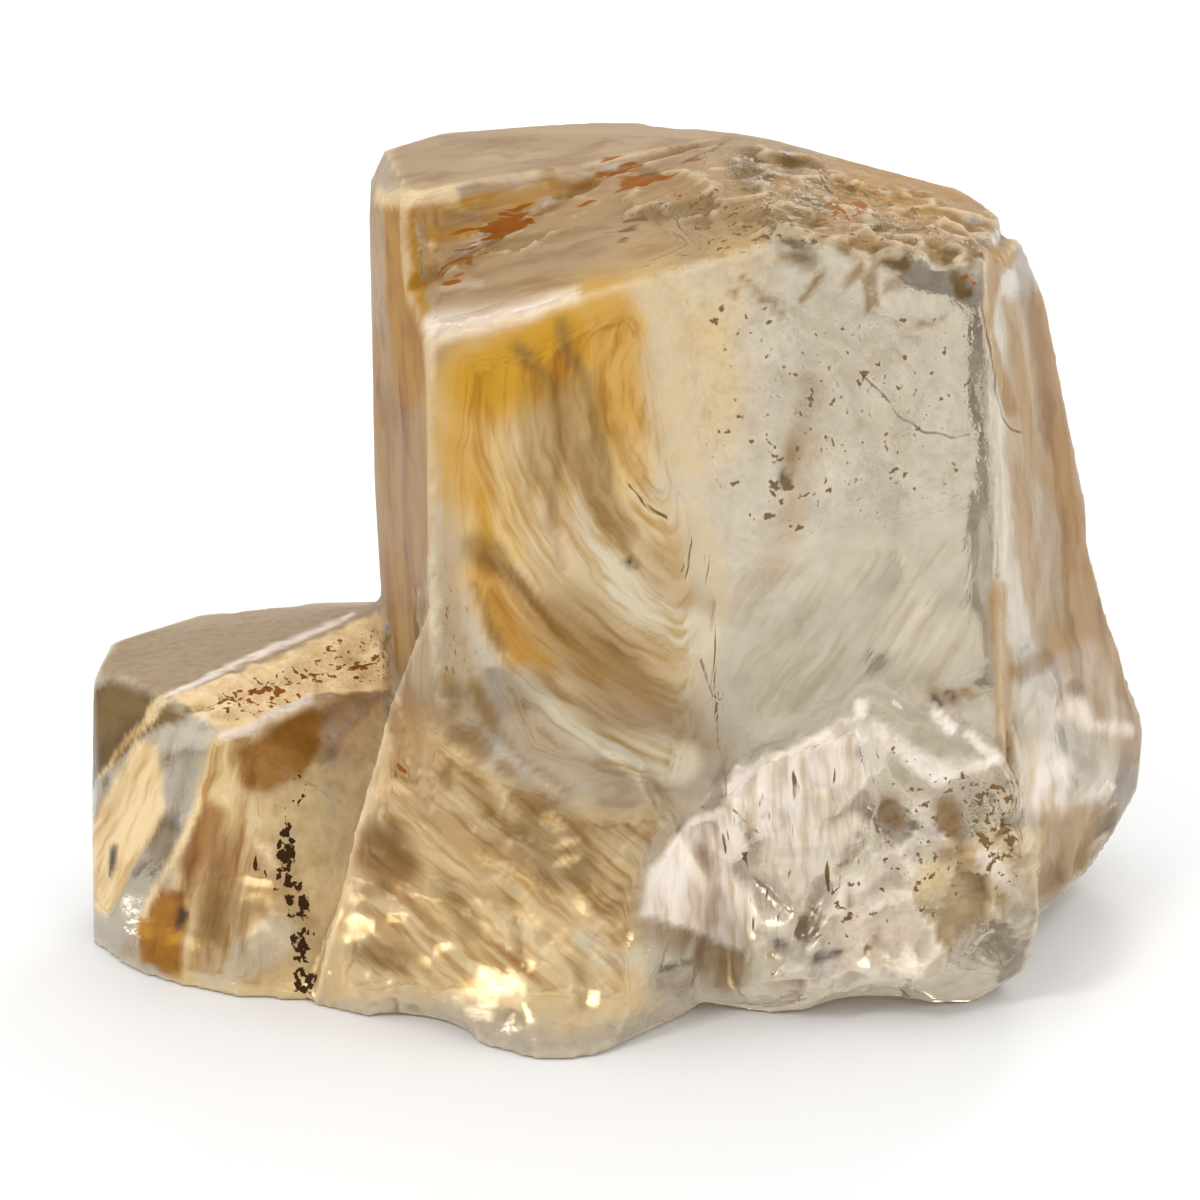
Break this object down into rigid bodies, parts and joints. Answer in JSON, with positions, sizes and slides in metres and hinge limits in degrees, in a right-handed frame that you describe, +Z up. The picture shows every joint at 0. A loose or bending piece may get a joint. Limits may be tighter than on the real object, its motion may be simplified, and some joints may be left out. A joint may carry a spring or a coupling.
{
  "type": "citrine crystal point",
  "caption": "Rough broken citrine crystal standing on a flat base, with a tall clear block, a ledge at its brow and a low step beside it.",
  "frame": {"origin": "middle of the stone's bounding box, on the surface that it rests on", "axes": "+X to the right along the longest side, +Y to the back across the thinnest side, +Z up"},
  "size_m": [0.0556, 0.0332, 0.0399],
  "materials": {
    "citrine": "glassy cleaved faces, frosted and pitted where the crystal broke"
  },
  "bodies": {
    "root": {"citrine_point": "citrine"}
  },
  "joints": []
}
